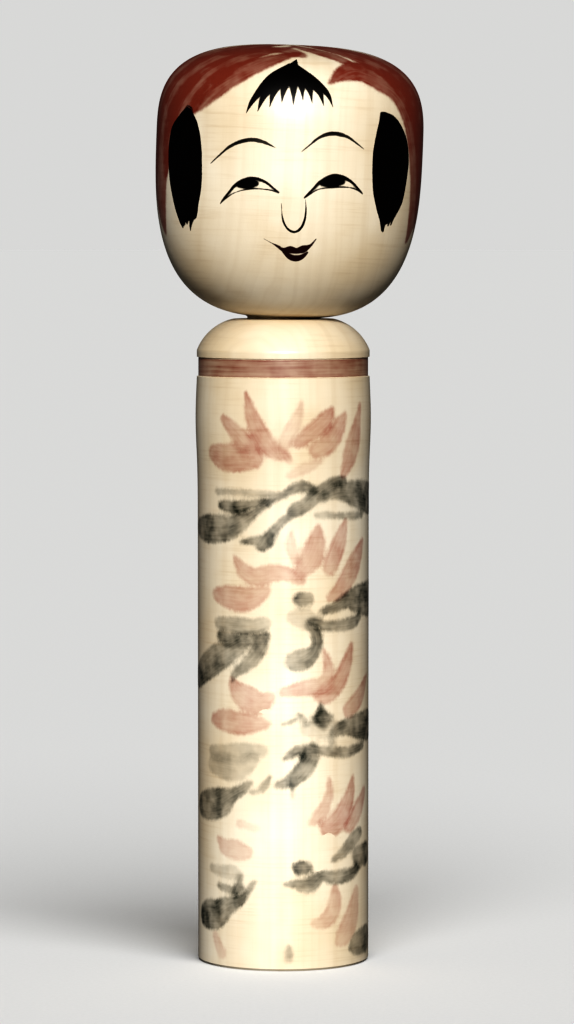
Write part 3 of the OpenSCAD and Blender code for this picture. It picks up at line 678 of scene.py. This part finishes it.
def strokeTree():  # lays flat ribbons along the strokes and presses them on to the wood as a closed film
    tree, inputs = newTree("brushOnWood", [("Strokes", "Object"), ("Wood", "Object"), ("Across", "Int"),
                                           ("Lift", "Float"), ("Layer", "Float"), ("Film", "Float"),
                                           ("Dye", "Material")])
    strokes = addNode(tree, "GeometryNodeObjectInfo", {0: inputs["Strokes"]}, out=4)
    wood = addNode(tree, "GeometryNodeObjectInfo", {0: inputs["Wood"]}, out=4)
    faceNormal = addNode(tree, "GeometryNodeInputNormal")
    facePlace = addNode(tree, "GeometryNodeInputPosition")
    facing = addNode(tree, "GeometryNodeSampleNearestSurface", {"Mesh": wood, "Value": faceNormal},
                     data_type="FLOAT_VECTOR")
    onto = addNode(tree, "GeometryNodeSampleNearestSurface", {"Mesh": wood, "Value": facePlace},
                   data_type="FLOAT_VECTOR")
    strokes = addNode(tree, "GeometryNodeSetCurveNormal", {0: strokes, "Normal": facing}, mode="FREE")
    width = addNode(tree, "GeometryNodeInputRadius")
    keep = tree.nodes.new("GeometryNodeCaptureAttribute")
    tree.links.new(strokes, keep.inputs[0])
    for label, value in (("along", addNode(tree, "GeometryNodeSplineParameter", out=1)),
                         ("number", addNode(tree, "GeometryNodeCurveOfPoint", out=0)),
                         ("tip", addNode(tree, "GeometryNodeCurveEndpointSelection")),
                         ("width", width)):
        keep.capture_items.new("FLOAT", label)
        tree.links.new(value, keep.inputs[label])
    edge = addNode(tree, "GeometryNodeCurvePrimitiveLine", {"Start": (0, -1, 0), "End": (0, 1, 0)})
    count = addNode(tree, "FunctionNodeIntegerMath", {0: inputs["Across"], 1: 1}, operation="ADD")
    edge = addNode(tree, "GeometryNodeResampleCurve", {"Curve": edge, "Count": count})
    keepAcross = tree.nodes.new("GeometryNodeCaptureAttribute")
    keepAcross.capture_items.new("FLOAT", "across")
    tree.links.new(edge, keepAcross.inputs[0])
    tree.links.new(addNode(tree, "GeometryNodeSplineParameter"), keepAcross.inputs["across"])
    ribbon = addNode(tree, "GeometryNodeCurveToMesh",
                     {"Curve": keep.outputs[0], "Profile Curve": keepAcross.outputs[0], "Scale": width})
    alongMm = addNode(tree, "ShaderNodeMath", {0: keep.outputs["along"], 1: 1 / mm}, operation="MULTIPLY")
    acrossShare = addNode(tree, "ShaderNodeMath", {0: keepAcross.outputs["across"], 1: 0.5},
                          operation="SUBTRACT")
    acrossMm = addNode(tree, "ShaderNodeMath", {0: acrossShare, 1: keep.outputs["width"]},
                       operation="MULTIPLY")
    acrossMm = addNode(tree, "ShaderNodeMath", {0: acrossMm, 1: 2 / mm}, operation="MULTIPLY")
    shift = addNode(tree, "ShaderNodeMath", {0: keep.outputs["number"], 1: brushWork["apart"], 2: acrossMm},
                    operation="MULTIPLY_ADD")
    lengthwise = addNode(tree, "ShaderNodeCombineXYZ", {0: alongMm, 1: shift})
    ribbon = addNode(tree, "GeometryNodeStoreNamedAttribute",
                     {0: ribbon, "Name": "UVMap", "Value": lengthwise}, data_type="FLOAT2", domain="CORNER")
    sunk = addNode(tree, "ShaderNodeVectorMath", {0: facing, "Scale": inputs["Film"]}, operation="SCALE")
    under = addNode(tree, "ShaderNodeVectorMath", {0: onto, 1: sunk}, operation="SUBTRACT")
    base = addNode(tree, "GeometryNodeSetPosition", {0: ribbon, "Position": under})
    raised = addNode(tree, "GeometryNodeExtrudeMesh",
                     {"Mesh": base, "Offset Scale": 0.0, "Individual": False}, mode="FACES")
    upper = raised.node.outputs["Top"]
    lift = addNode(tree, "ShaderNodeMath", {0: keep.outputs["number"], 1: inputs["Layer"], 2: inputs["Lift"]},
                   operation="MULTIPLY_ADD")
    # the film thins to nothing at its edge, so it has no step that would cast a line of shadow
    fromMiddle = addNode(tree, "ShaderNodeMath", {0: acrossShare}, operation="ABSOLUTE")
    level = addNode(tree, "ShaderNodeMapRange",
                    {0: fromMiddle, 1: brushWork["level"], 2: 0.5, 3: 1.0, 4: 0.0})
    offTip = addNode(tree, "ShaderNodeMath", {0: 1.0, 1: keep.outputs["tip"]}, operation="SUBTRACT")
    level = addNode(tree, "ShaderNodeMath", {0: level, 1: offTip}, operation="MULTIPLY")
    lift = addNode(tree, "ShaderNodeMath", {0: lift, 1: level}, operation="MULTIPLY")
    rise = addNode(tree, "ShaderNodeVectorMath", {0: facing, "Scale": lift}, operation="SCALE")
    over = addNode(tree, "ShaderNodeVectorMath", {0: onto, 1: rise}, operation="ADD")
    raised = addNode(tree, "GeometryNodeSetPosition", {0: raised, "Selection": upper, "Position": over})
    both = tree.nodes.new("GeometryNodeJoinGeometry")
    tree.links.new(addNode(tree, "GeometryNodeFlipFaces", {0: base}), both.inputs[0])
    tree.links.new(raised, both.inputs[0])
    closed = addNode(tree, "GeometryNodeMergeByDistance",
                     {0: both.outputs[0], "Distance": brushWork["weld"] * mm})
    closed = addNode(tree, "GeometryNodeStoreNamedAttribute",
                     {0: closed, "Name": "woodFacing", "Value": facing},
                     data_type="FLOAT_VECTOR", domain="POINT")
    closed = addNode(tree, "GeometryNodeSetShadeSmooth", {0: closed, "Shade Smooth": True}, domain="FACE")
    closed = addNode(tree, "GeometryNodeRealizeInstances", {0: closed})
    closed = addNode(tree, "GeometryNodeSetMaterial", {0: closed, "Material": inputs["Dye"]})
    addNode(tree, "NodeGroupOutput", {0: closed})
    return tree


brushOnWood = strokeTree()


def dyeAt(places, strokes, reach):  # how far inside the painted edge each place lies, and its amount of dye
    merged = np.full(len(places), brushWork["nothing"])  # wet strokes run into each other where they meet
    clear = np.ones(len(places))
    low, high = places.min(0), places.max(0)
    for stroke in strokes:
        around = stroke["half"].max() + brushWork["look"]
        if (stroke["centre"].max(0) + around < low).any() or (stroke["centre"].min(0) - around > high).any():
            continue
        start, way = stroke["centre"][:-1], np.diff(stroke["centre"], axis=0)
        gap = places[:, None, :] - start[None, :, :]
        share = np.clip((gap * way).sum(2) / (way * way).sum(1), 0, 1)
        far = np.linalg.norm(gap - share[:, :, None] * way, axis=2)
        depth = stroke["half"][:-1] + share * np.diff(stroke["half"]) - far
        best = depth.argmax(1)
        depth = depth[np.arange(len(places)), best]
        cover = np.clip(1 + depth / reach, 0, 1) * stroke["tone"][best]
        merged += np.exp(np.clip(depth, -brushWork["deepest"], brushWork["deepest"]) / brushWork["merge"])
        clear *= 1 - np.clip(cover, 0, brushWork["fullest"])
    return brushWork["merge"] * np.log(merged), 1 - clear


def writeValues(piece, label, values):  # a value on each corner of the mesh, for its material
    layer = piece.data.attributes.new(label, "FLOAT", "POINT")
    layer.data.foreach_set("value", values.astype(np.float32))


# strokes are what this piece is made of; lower and upper are all the red and all the dark strokes near it
def paintPiece(name, node, strokes, wood, lift, paint, lower=(), upper=()):
    lines = bpy.data.curves.new(name + "Lines", "CURVE")
    lines.dimensions = "3D"
    for stroke in strokes:
        line = ribbonLine(stroke, paint["margin"])
        spline = lines.splines.new("POLY")
        spline.points.add(len(line) - 1)
        for point, (place, width) in zip(spline.points, line):
            point.co = (*(place * mm), 1)
            point.radius = width * mm
    piece = makePiece(name, brushOnWood, {
        "Strokes": guide(name + "Lines", lines), "Wood": wood, "Across": paint["across"], "Lift": lift * mm,
        "Layer": brushWork["layer"] * mm, "Film": brushWork["film"] * mm, "Dye": paint["material"]})
    places = np.empty(len(piece.data.vertices) * 3)
    piece.data.vertices.foreach_get("co", places)
    places = places.reshape(-1, 3) / mm
    # dye has no edge of its own: it takes the light as the wood under it does
    facing = np.empty(len(places) * 3)
    piece.data.attributes["woodFacing"].data.foreach_get("vector", facing)
    piece.data.normals_split_custom_set_from_vertices(facing.reshape(-1, 3).tolist())
    piece.data.attributes.remove(piece.data.attributes["woodFacing"])
    for which, dyed in (("lower", lower), ("upper", upper)):
        inside, tone = dyeAt(places, dyed, paint["margin"])
        writeValues(piece, which + "Inside", inside)
        writeValues(piece, which + "Tone", tone)
    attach(piece, "body" if wood == turnedBody else "head")
    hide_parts(node)
    print(name, len(strokes), "strokes,", len(piece.data.polygons), "faces")


# hair and face
random.seed(5)
ink = {"hairTone": 0.97, "browTone": 0.86, "faceTone": 0.92}
fringe = {
    "tips": [(-19, 53.8), (-14, 54.4), (-9, 55.6), (-4, 56.6), (1, 56.4), (5, 57.6), (9, 57), (14, 56.4),
             (18, 56.2)],
    "peak": [(2, 67, 0.3), (0.6, 65.4, 2.2), (0, 63.6, 5), (0, 62.4, 6)],
    # along a strand: share of its turn, height, width; the last two heights are from its end
    "strand": [(0.08, 65.6, 0.8), (0.5, 62.4, 2.3), (0.86, 2.4, 1.4), (1, -1.1, 0.1)],
    "sag": 0.02,  # an outer strand's middle is lower by this much for each degree
}


def fringeStrokes():  # each strand fans out from the peak and ends in a point
    strokes = [layStroke(fringe["peak"], onHead, ink["hairTone"])]
    for turn, height in fringe["tips"]:
        bases = (0, -abs(turn) * fringe["sag"], height, height)
        strand = [(turn * share, rise + base, width)
                  for base, (share, rise, width) in zip(bases, fringe["strand"])]
        strokes.append(layStroke(strand, onHead, ink["hairTone"]))
    return strokes


sideLocks = {
    "left": {"outer": [(-50.5, 53.6), (-56, 51.2), (-61, 48.1), (-63, 42.9), (-62, 36.4), (-59, 30),
                       (-56, 25.3), (-54, 22.5)],
             "inner": [(-47.5, 53), (-43, 49.4), (-41, 45.6), (-40, 40.5), (-40, 34), (-42, 29),
                       (-43.5, 26), (-46, 24.2)]},
    "right": {"outer": [(44.5, 54), (50, 53.2), (55, 51), (60, 47.2), (62, 42.6), (61, 37.4),
                        (59, 32.1), (55, 27.6)],
              "inner": [(42, 54), (41, 52.4), (39, 47.3), (38, 42.1), (39, 34.4), (42, 29.3),
                        (45, 26.2), (46.5, 24.8)]},
    "strokes": 9,
    "overlap": 1.25,
    "thinnest": 0.7,
    "tip": 0.4,
    "ragged": 1.5,  # how far the ends of the hairs differ
}


def lockStrokes(lock):  # side by side from the outer to the inner edge, each ending where its hairs ran dry
    count = sideLocks["strokes"]
    strokes = []
    for k in range(count):
        share = (k + 0.5) / count
        line = []
        for (outTurn, outHeight), (inTurn, inHeight) in zip(lock["outer"], lock["inner"]):
            height = outHeight + (inHeight - outHeight) * share
            width = math.radians(abs(inTurn - outTurn)) * headRadius(height) / count * sideLocks["overlap"]
            line.append((outTurn + (inTurn - outTurn) * share, height, max(sideLocks["thinnest"], width)))
        turn, height, width = line[-1]
        line[-1] = (turn, height + random.uniform(-1, 1) * sideLocks["ragged"], sideLocks["tip"])
        strokes.append(layStroke(line, onHead, ink["hairTone"]))
    return strokes


# strokes outwards over the crown, and over them some from its middle: (degrees, way along the wood, width)
crown = {
    "left": [
        [(2, 68.6, 1.5), (-8, 67.3, 4.4), (-18, 65.3, 6), (-28, 62.4, 7), (-37, 58.8, 7), (-43, 55.4, 5),
         (-46, 52.8, 1)],
        [(-2, 70.5, 2), (-14, 69.4, 4.4), (-27, 67.4, 6), (-38, 63.8, 8.5), (-47, 59, 10), (-54, 54, 10),
         (-60, 49, 9), (-64, 43, 6), (-66, 37, 2.5)],
        [(-44, 68.6, 3), (-24, 69.7, 4.6), (-6, 69.5, 5), (3, 68.6, 4), (7, 67.9, 1)],
        [(-12, 71.2, 2.5), (-26, 70.5, 5), (-42, 68.2, 7.5), (-54, 64, 10), (-63, 57, 11.5), (-69, 48, 12),
         (-73, 38, 11), (-74, 29, 8.5), (-73, 22, 2.5)],
        [(-30, 71.3, 3), (-48, 70.2, 6), (-64, 67, 9), (-76, 60, 11), (-83, 50, 11), (-86, 38, 9),
         (-87, 27, 3)],
    ],
    "right": [
        [(0, 71, 2), (8, 70.3, 3.6), (16, 69.5, 4.4), (24, 68.4, 4.4), (31, 67, 3), (36, 65.9, 0.8)],
        [(17, 61.2, 0.8), (24, 63.6, 4.2), (34, 64.8, 7.2), (45, 63.2, 8.6), (55, 60.4, 8.6), (63, 54.7, 9.6),
         (69, 47, 10), (73, 38, 10), (74, 29, 8), (72, 22, 2.5)],
        [(10, 71.3, 2.5), (24, 70.7, 5), (40, 69, 7), (55, 65.5, 8.5), (67, 58.5, 9.5), (75, 50, 9.5),
         (80, 40, 9), (82, 30, 6), (82, 24, 2)],
        [(30, 71.3, 3), (48, 70.4, 5.5), (66, 67, 8), (78, 59.5, 9.5), (86, 49, 9), (89, 38, 7),
         (90, 28, 2.5)],
    ],
    "leftOver": [[(-60, 5, 3), (-76, 14, 8), (-86, 28, 12), (-92, 45, 14), (-95, 62, 13), (-96, 76, 3)],
                 [(-80, 5, 3), (-100, 14, 8), (-108, 28, 12), (-111, 45, 13), (-112, 58, 11), (-112, 68, 3)]],
    "rightOver": [[(60, 5, 3), (78, 14, 8), (88, 28, 12), (93, 45, 14), (96, 62, 13), (96, 75, 3)],
                  [(80, 5, 3), (100, 14, 8), (108, 28, 12), (111, 45, 13), (112, 58, 11), (112, 67, 3)]],
    "tone": 0.9,
    "fade": 0.12,
}
crownStrokes = {}
for side in ("left", "right"):
    crownStrokes[side] = []
    for lines, spot in ((crown[side], onHead), (crown[side + "Over"], onCrown)):
        crownStrokes[side] += [layStroke(points, spot, crown["tone"], crown["fade"]) for points in lines]

face = {
    "browLeft": [[(-35, 39.6, 0.2), (-31, 41.6, 0.5), (-26, 44, 0.8), (-21, 45.4, 1), (-16, 46, 1.1),
                  (-11, 45.5, 0.9), (-6, 44.2, 0.2)]],
    "browRight": [[(5, 43.3, 0.1), (8, 44.9, 0.4), (12, 47, 0.7), (16, 48.1, 1), (20, 48.3, 1.1),
                   (25, 47.6, 0.8), (29, 46.2, 0.5), (33, 44.7, 0.1)]],
    "eyeLeft": [[(-30, 29.4, 0.2), (-26, 32.2, 0.6), (-22, 34.6, 0.8), (-16, 36.1, 0.8), (-10, 35.4, 0.7),
                 (-4, 32.8, 0.2)],
                [(-28.5, 30.3, 0.1), (-23, 32.3, 0.12), (-16, 33.4, 0.16), (-9, 33.4, 0.22), (-4, 32.8, 0.1)],
                [(-21, 34.2, 1.1), (-17, 34.7, 2.4), (-13.5, 34.8, 1.2)]],
    "eyeRight": [[(7, 31.6, 0.2), (11, 34.2, 0.6), (14, 36, 0.8), (20, 37.6, 0.9), (27, 36.4, 0.8),
                  (33.5, 33.2, 0.2)],
                 [(8, 32, 0.1), (13, 33.9, 0.12), (20, 34.6, 0.16), (27, 34.7, 0.22), (32.5, 33.8, 0.1)],
                 [(14.5, 35.4, 1.1), (19, 36, 2.7), (23.5, 36.1, 1.3)]],
    "noseLine": [[(-2.6, 30, 0.1), (-2.1, 27, 0.35), (-1.1, 24.9, 0.5), (1, 23.3, 0.6), (3.7, 22.8, 0.6),
                  (6.2, 23.8, 0.7), (7.7, 26, 0.6), (8, 28.5, 0.4), (7.6, 31.2, 0.1)]],
    "mouthDye": [[(-10, 20.8, 0.05), (-8, 20.2, 0.12), (-5.5, 19.5, 0.25), (-3, 18.8, 0.4)],
                 [(-4, 19, 0.2), (-1, 18.1, 0.9), (2, 18.3, 1.9), (5, 18, 1.5), (8, 18.6, 1.9),
                  (11, 19.4, 0.8), (13.5, 21.2, 0.2)],
                 [(-1, 17.6, 0.4), (1.5, 16.5, 1.3), (4.5, 16, 1.7), (7.5, 16.4, 1.3), (10, 17.6, 0.4)]],
}

bangs = fringeStrokes()
locks = {side: lockStrokes(sideLocks[side]) for side in ("left", "right")}
hairInk = bangs + locks["left"] + locks["right"]
hairRed = crownStrokes["left"] + crownStrokes["right"]
for side in ("left", "right"):
    paintPiece("crownDye" + side.title(), "crown_dye_" + side, crownStrokes[side], turnedHead,
               brushWork["lower"], crownPaint, hairRed, hairInk)
    paintPiece("sideLock" + side.title(), "side_lock_" + side, locks[side], turnedHead,
               brushWork["upper"], inkPaint, hairRed, hairInk)
paintPiece("bangsInk", "bangs", bangs, turnedHead,
           brushWork["upper"], inkPaint, hairRed, hairInk)
for label, node in (("browLeft", "brow_left"), ("browRight", "brow_right"), ("eyeLeft", "eye_left"),
                    ("eyeRight", "eye_right"), ("noseLine", "nose_line"), ("mouthDye", "mouth")):
    tone = ink["browTone"] if label.startswith("brow") else ink["faceTone"]
    paint, slot = (lipPaint, "lip_red") if node == "mouth" else (inkPaint, "black_ink")
    laid = [layStroke(points, onHead, tone) for points in face[label]]
    paintPiece(label, node, laid, turnedHead, brushWork["face"], paint, (), laid)
print("head painted")

# flowers on the body, five tiers from the top; each stroke is a line and its tone
petals = [
    [([(-25, 151.5, 0.8), (-21, 146, 3), (-14, 140, 4.5), (-6, 136, 3), (2, 135, 1)], 0.75),
     ([(-42, 144.5, 2), (-33, 141.5, 3.5), (-24, 137.5, 4.5), (-19, 133, 2)], 0.6),
     ([(-53, 135.5, 3.5), (-42, 134.5, 6), (-30, 134.5, 6), (-19, 134.5, 4)], 0.7),
     ([(12, 149, 1), (9, 145, 2.5), (4, 141, 3), (0, 137, 2.5), (4, 134, 1.5)], 0.35),
     ([(33, 147, 1.5), (27, 144, 4), (18, 141, 3.5), (10, 138.5, 2.5)], 0.7),
     ([(44, 146, 1), (38, 142, 4), (30, 138, 4.5), (22, 136.5, 3.5)], 0.7),
     ([(60, 148, 1), (52, 137, 5), (44, 130, 2)], 0.7),
     ([(25, 133.5, 1), (15, 132, 2.5), (4, 130, 1.5)], 0.35)],
    [([(-34, 108.5, 1), (-27, 105, 3.5), (-18, 103.5, 4), (-8, 104.5, 4), (2, 104.5, 3),
       (12, 102.5, 2)], 0.6),
     ([(-50, 98.5, 3), (-40, 98, 5), (-28, 97.5, 5.5), (-18, 98.5, 4), (-11, 100, 2)], 0.65),
     ([(5, 115, 1), (5, 112, 2.4), (8, 108, 2)], 0.4),
     ([(24, 116.5, 1.5), (22, 112, 4.5), (18, 108, 5), (12, 105, 3)], 0.6),
     ([(46, 117.5, 1.5), (40, 112, 4), (33, 106, 4)], 0.75),
     ([(66, 112, 1.5), (55, 106, 5), (42, 100, 4), (33, 98, 2)], 0.7)],
    [([(-37, 76.5, 1), (-32, 73.5, 4), (-24, 71.5, 5.5), (-15, 70.5, 4.5), (-9, 72, 2.5)], 0.65),
     ([(-52, 65.5, 3), (-42, 65.5, 5), (-30, 65, 5), (-18, 65, 3.5), (-10, 65, 1.5)], 0.65),
     ([(28, 84, 1), (31, 81, 2.2), (31, 77.5, 3), (26, 75, 3.5), (15, 74.5, 3.5), (0, 73.5, 2)], 0.6),
     ([(52, 85, 1.5), (47, 80, 3.5), (40, 75.5, 4), (30, 72.5, 4), (24, 72, 2)], 0.75),
     ([(75, 76, 1.5), (62, 71, 4), (50, 68, 4)], 0.7)],
    [([(32, 50.5, 0.8), (32.5, 47, 2), (30, 43.8, 2.6), (25, 41, 3), (19, 39, 1.5)], 0.55),
     ([(54, 50, 1), (50, 45, 3.5), (42, 40, 5), (33, 37.5, 4.5), (28, 38, 2)], 0.75),
     ([(70, 46, 2), (60, 41, 4), (50, 37, 3)], 0.7),
     ([(-48, 34, 1.5), (-42, 32, 3.5), (-33, 31.5, 4.5), (-25, 31, 3)], 0.45),
     ([(-30, 38.5, 2), (-18, 37.5, 1.5)], 0.25)],
    [([(37, 21.5, 1.5), (37, 18, 3.5), (34, 14.5, 4), (27, 12.5, 3), (21, 12.5, 1.5)], 0.5),
     ([(58, 20, 2), (53, 13, 5), (46, 9, 5), (40, 7, 2)], 0.55),
     ([(-52, 8.4, 2), (-46, 3.9, 3)], 0.35)],
]
leaves = [
    [([(-50, 125.5, 1.5), (-30, 125.5, 1.6), (-10, 125.2, 1.5), (0, 124.8, 1)], 0.5),
     ([(-45, 122, 2.5), (-32, 121.5, 3.5), (-20, 122.5, 2.2), (-8, 123.5, 1.6), (0, 125, 1.5),
       (8, 126.8, 2.6), (14, 127.2, 2.8), (20, 126.5, 1.6)], 0.95),
     ([(-78, 115.5, 4), (-60, 115.5, 7), (-40, 116, 6), (-28, 118, 4), (-18, 120.5, 2),
       (-10, 122.5, 1.2)], 0.9),
     ([(-28, 112.5, 1.2), (-20, 113, 2), (-14, 112.6, 3.4), (-10, 112.8, 3)], 0.85),
     ([(-14, 111.6, 2.4), (-8, 114.8, 2.5), (-2, 117.5, 2), (4, 119.5, 2), (8, 121, 3.5),
       (14, 122, 3.2), (20, 124, 3.5), (28, 126, 3.5), (36, 128, 3), (44, 128.5, 2)], 0.85),
     ([(28, 124, 2), (40, 125.5, 4), (60, 124.5, 7), (80, 123, 8)], 0.92),
     ([(22, 119.5, 1.2), (30, 119.6, 2), (38, 119.3, 1.5), (52, 119, 2), (65, 119, 1.5)], 0.6)],
    [([(11, 97.7, 3.4), (16, 97.7, 3.4)], 0.85),
     ([(6, 93, 3), (14, 92.5, 5), (22, 92, 3)], 0.3),
     ([(-48, 91, 3), (-35, 90.8, 4), (-22, 90.5, 4), (-12, 91.5, 3)], 0.55),
     ([(-46, 87.5, 3), (-34, 86.8, 3), (-22, 87, 3), (-11, 88, 1.5)], 0.95),
     ([(-12, 88, 2), (-16, 85, 4), (-20, 82.5, 4), (-27, 79.8, 3), (-34, 78, 2), (-36, 76, 1)], 0.85),
     ([(-78, 76, 6), (-65, 78.5, 7), (-50, 81.5, 7), (-38, 83.5, 5), (-28, 85.5, 3)], 0.92),
     ([(19, 91, 2), (22, 88.5, 3), (23, 86, 3), (20, 83.5, 3.5), (14, 82, 5), (8, 81.5, 5)], 0.85),
     ([(28, 94.5, 2), (38, 95.5, 3), (48, 97, 4), (60, 97, 7), (80, 96.5, 9)], 0.92),
     ([(22, 91.5, 1.5), (30, 90.5, 2.5), (42, 90.5, 3), (55, 91, 3), (62, 92.5, 2)], 0.75)],
    [([(0, 65, 0.6), (4, 65.4, 1), (8, 66.3, 0.8)], 0.6),
     ([(10, 67.8, 0.6), (13, 66.5, 1.4), (15, 65.6, 1)], 0.75),
     ([(25.5, 70, 1), (26.5, 67, 3), (28, 64.5, 1)], 0.85),
     ([(20, 66.7, 0.8), (27, 66.5, 3.2), (34, 66.8, 1)], 0.75),
     ([(15, 63.5, 3), (28, 63.5, 5), (40, 63.5, 3)], 0.25),
     ([(37, 62.5, 2), (46, 63.5, 4), (58, 63.5, 6), (78, 63, 8)], 0.92),
     ([(33.5, 60.6, 1.8), (34.5, 60.2, 1.8)], 0.6),
     ([(-55, 57, 3), (-42, 57, 4), (-28, 57.5, 4.5), (-14, 58, 3)], 0.4),
     ([(-55, 53.5, 4), (-42, 53, 6), (-30, 53, 5), (-20, 55.5, 3)], 0.42),
     ([(1, 56, 1), (5, 57, 2), (10, 58.2, 2.6), (15, 57.6, 3.6), (18, 56.2, 3.4)], 0.85),
     ([(20, 58.4, 3), (18, 55.8, 4.4), (14, 53.3, 4.6), (9, 51.3, 4), (4, 50, 3), (-3, 49, 2)], 0.85),
     ([(6, 50, 1), (6, 46, 0.8)], 0.5),
     ([(-9, 51, 1), (-12, 49, 2), (-16, 47.5, 1.5), (-21, 47, 1)], 0.65),
     ([(21, 58.3, 1.5), (30, 57.7, 2.5), (42, 57, 2.8), (54, 57.2, 2.5), (66, 58, 2)], 0.8),
     ([(-70, 42, 6), (-60, 42.5, 7.5), (-48, 43.5, 7.5), (-38, 45.5, 4), (-28, 47.8, 2.6),
       (-22, 49.5, 1.2)], 0.92)],
    [([(10.5, 27.3, 3.4), (15, 27.3, 3.4)], 0.9),
     ([(1, 23, 1), (8, 23, 2.2), (14, 22.5, 3.5), (20, 23, 3.8), (26, 24.8, 3), (34, 24.2, 3.2),
       (44, 24.2, 3.6), (54, 24.8, 3), (62, 26, 1.5)], 0.85),
     ([(36, 28.8, 1.5), (46, 31, 3), (54, 33.5, 3.5), (62, 35, 3)], 0.75),
     ([(60, 29, 5), (74, 29, 6)], 0.95),
     ([(-56, 26, 2), (-46, 25.5, 3), (-36, 25.5, 3.5), (-30, 25, 2)], 0.4),
     ([(-48, 21.6, 1.5), (-40, 21, 2), (-34, 21, 2.2), (-29, 21.6, 1.6)], 0.85),
     ([(-33, 20.6, 1.6), (-31, 22.4, 1.8), (-29.5, 24, 1.2)], 0.8),
     ([(-66, 13, 6), (-58, 13.5, 7.5), (-50, 14, 7), (-40, 16.5, 4.5), (-31, 18, 3), (-26, 20, 1.8),
       (-22, 22, 1.4), (-19, 23.5, 0.8)], 0.92)],
    [([(52, 5, 2), (60, 5.7, 6), (75, 6.2, 7)], 0.85),
     ([(4, 6.4, 1), (4, 4.4, 1)], 0.4),
     ([(3.5, 5, 1.8), (3.5, 3.2, 2.2)], 0.3)],
]
flowers = {
    "petalSpread": 1.22,  # wet dye spreads wider than the brush
    "leafSpread": 1.1,
    # the dye fades from each stroke's first point, mostly its side end: partly the brush running dry, partly
    # painted shade that keeps the body's flanks darker than its front
    "petalFadeAndShade": 0.2,
    "leafFadeAndShade": 0.22,
    "shadedFlank": 50,  # degrees round from the front; a stroke that ends past this is darkest at that end, partly as painted shade on the flank
}


def brushTiers(tiers, spread, fade):  # a stroke that ends on the far side is laid from there, so its dye fades from the flank towards the front: partly the brush running dry, partly painted shade on the body's flanks
    laid = []
    for tier in tiers:
        strokes = []
        for points, tone in tier:
            line = [(turn, height, width * spread) for turn, height, width in points]
            # painted shade: the stroke is turned round so that its fullest dye lies at its end on the flank
            if line[-1][0] > flowers["shadedFlank"]:
                line = line[::-1]
            strokes.append(layStroke(line, onBody, tone, fade))
        laid.append(strokes)
    return laid


petalStrokes = brushTiers(petals, flowers["petalSpread"], flowers["petalFadeAndShade"])
leafStrokes = brushTiers(leaves, flowers["leafSpread"], flowers["leafFadeAndShade"])
allPetals = [stroke for tier in petalStrokes for stroke in tier]
allLeaves = [stroke for tier in leafStrokes for stroke in tier]
for number in range(len(petals)):
    for label, strokes, lift, slot in (("petals", petalStrokes[number], brushWork["lower"], "petal_red"),
                                       ("leaves", leafStrokes[number], brushWork["upper"], "green_dye")):
        paintPiece(f"{label}{number + 1}", f"{label}_{number + 1}", strokes, turnedBody, lift, flowerPaint,
                   allPetals, allLeaves)

# the painted band in the shoulder groove
band = {"low": 155.45, "high": 160.05, "proud": 0.04, "sunk": 0.05, "ring": 0.25, "tone": 0.95, "seed": 3}
inner, outer = bodySizes["grooveRadius"] - band["sunk"], bodySizes["grooveRadius"] + band["proud"]
bandOutline = [(inner, 0, band["low"])]
bandOutline += [(outer, 0, z) for z in steps(band["low"], band["high"], band["ring"])]
bandOutline += [(outer, 0, band["high"]), (inner, 0, band["high"]), (inner, 0, band["low"])]
shoulderBand = turnPiece("shoulderBand", bandOutline, lathe["bodyAround"], band["seed"], bandPaint)
heights = np.array([v.co.z / mm for v in shoulderBand.data.vertices])
writeValues(shoulderBand, "upperInside", np.minimum(heights - band["low"], band["high"] - heights))
writeValues(shoulderBand, "upperTone", np.full(len(heights), band["tone"]))
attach(shoulderBand, "body")
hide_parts("shoulder_band")
print("body painted")

for thing in guides:
    bpy.data.objects.remove(thing)
